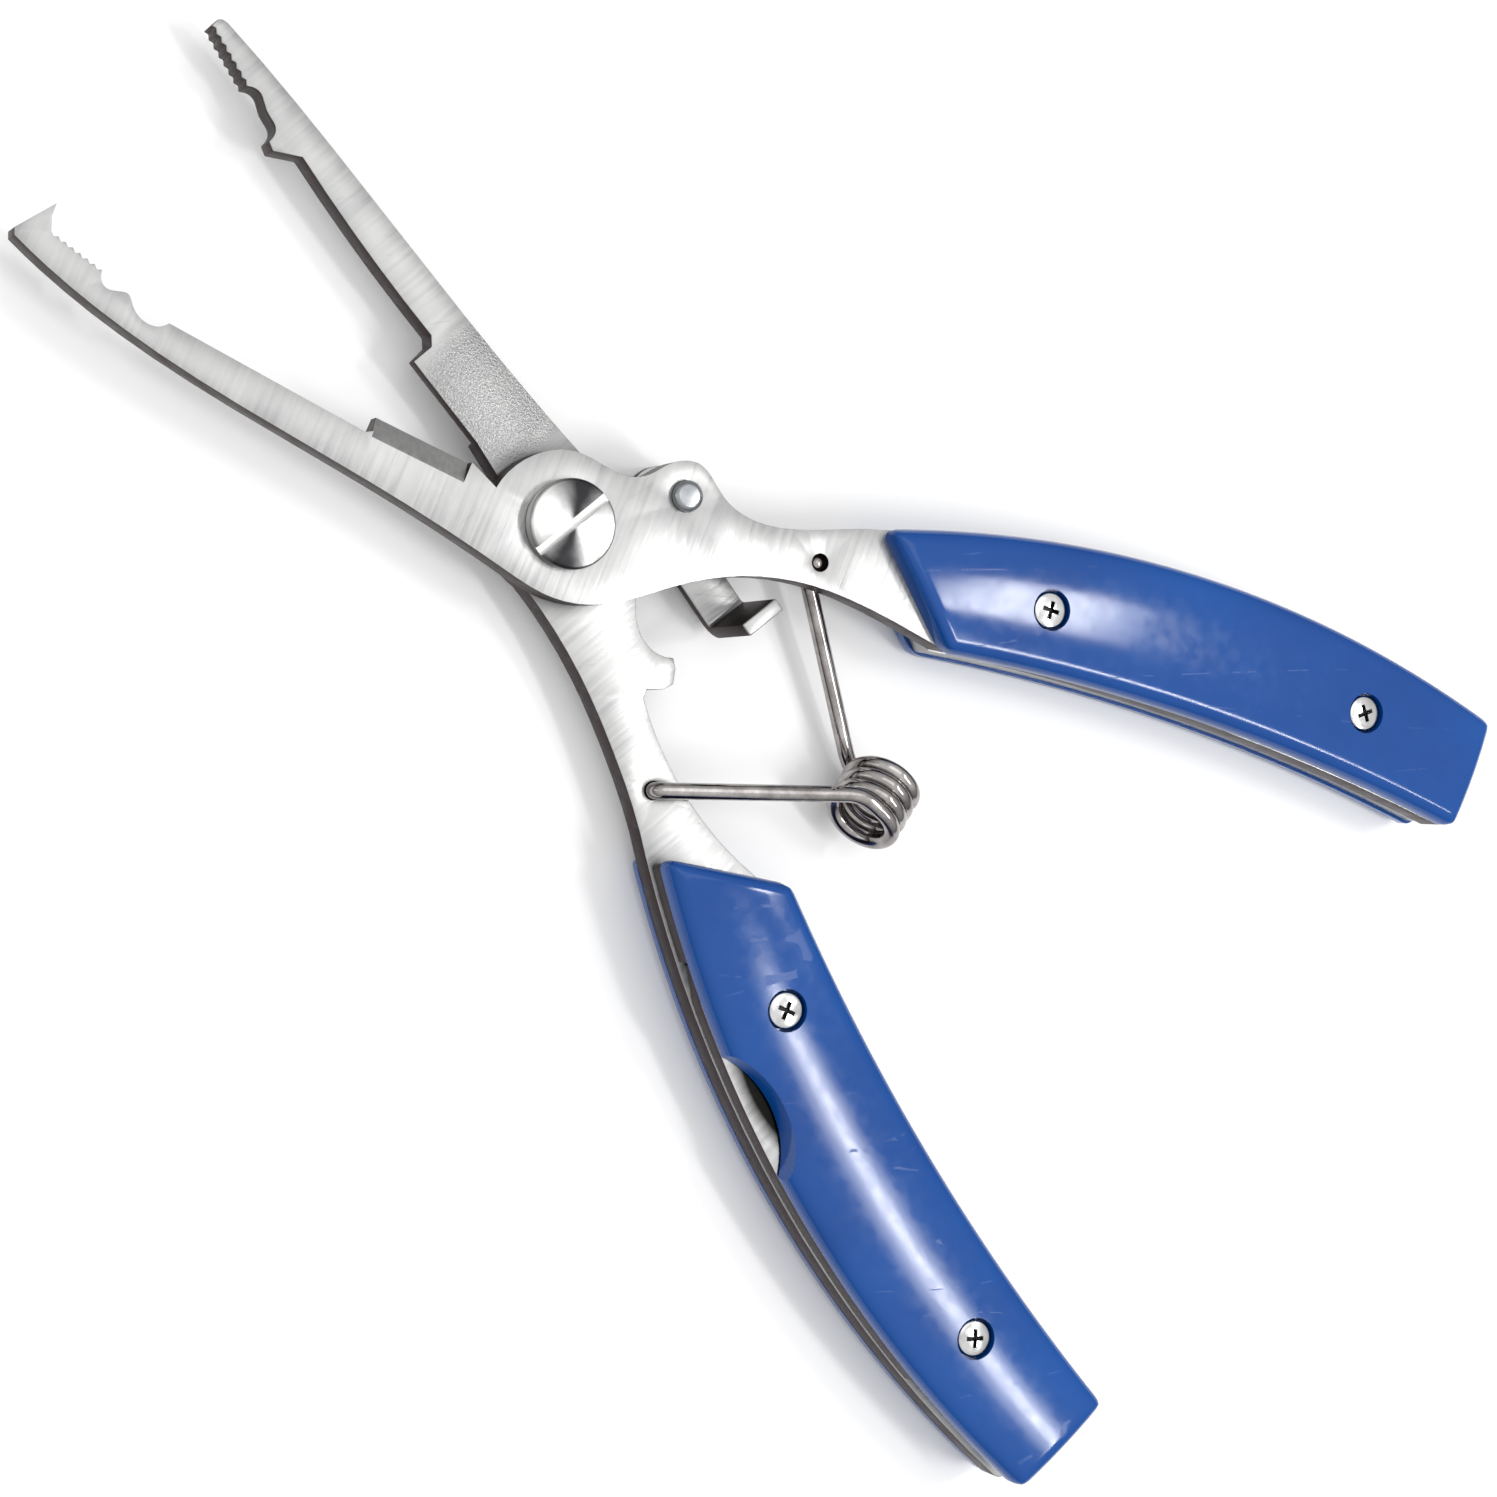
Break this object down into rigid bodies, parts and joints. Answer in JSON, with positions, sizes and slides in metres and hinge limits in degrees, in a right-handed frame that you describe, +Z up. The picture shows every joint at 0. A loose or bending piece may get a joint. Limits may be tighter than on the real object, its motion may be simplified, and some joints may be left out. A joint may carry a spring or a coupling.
{
  "type": "fishing pliers",
  "caption": "Long-nose fishing pliers with offset cutters, a wire opening spring, a jaw lock and a knife folded into one blue handle, lying open on their back.",
  "frame": {"origin": "pivot axis at the flat end of the pivot nut, on the plane the pliers lie on", "axes": "+X from the pivot towards the handles, +Y towards the upper handle, +Z up along the pivot axis, from the back of the tool to its front"},
  "size_m": [0.1695, 0.1052, 0.0124],
  "materials": {
    "stainless": "satin ground stainless steel",
    "spring_wire": "polished spring wire",
    "blue_plastic": "glossy mid blue, lightly scratched",
    "washer_brass": "thin plain washer",
    "bright_screw": "bright plated cross-head screw"
  },
  "bodies": {
    "front": {"front_half": "stainless", "pivot_screw": "stainless", "pivot_nut": "stainless", "lock_pin": "stainless", "opening_spring": "spring_wire", "upper_front_scale": "blue_plastic", "upper_back_scale": "blue_plastic", "upper_spacer": "stainless", "upper_fore_screw": "bright_screw", "upper_butt_screw": "bright_screw", "upper_fore_nut": "bright_screw", "upper_butt_nut": "bright_screw"},
    "rear": {"rear_half": "stainless", "lower_front_scale": "blue_plastic", "lower_back_scale": "blue_plastic", "lower_spacer": "stainless", "spacer_dowel": "stainless", "blade_washer_front": "washer_brass", "blade_washer_back": "washer_brass", "lower_fore_screw": "bright_screw", "lower_butt_screw": "bright_screw", "lower_fore_nut": "bright_screw", "lower_butt_nut": "bright_screw"},
    "lever": {"lock_lever": "stainless"},
    "blade": {"knife_blade": "stainless"}
  },
  "joints": [
    {"name": "jaw_hinge", "type": "hinge", "parent": "front", "child": "rear", "pos_m": [0, 0, 0.0062], "axis": [0, 0, 1], "range_deg": [0, 26], "stiffness_Nm_per_rad": 1, "springref_deg": -8.59, "deforming": ["opening_spring"]},
    {"name": "lever_hinge", "type": "hinge", "parent": "front", "child": "lever", "pos_m": [0.00863, 0.01061, 0.0022], "axis": [0, 0, 1], "range_deg": [-7, 8]},
    {"name": "blade_hinge", "type": "hinge", "parent": "rear", "child": "blade", "pos_m": [0.08931, -0.04258, 0.0078], "axis": [0, 0, 1], "range_deg": [0, 180]}
  ]
}
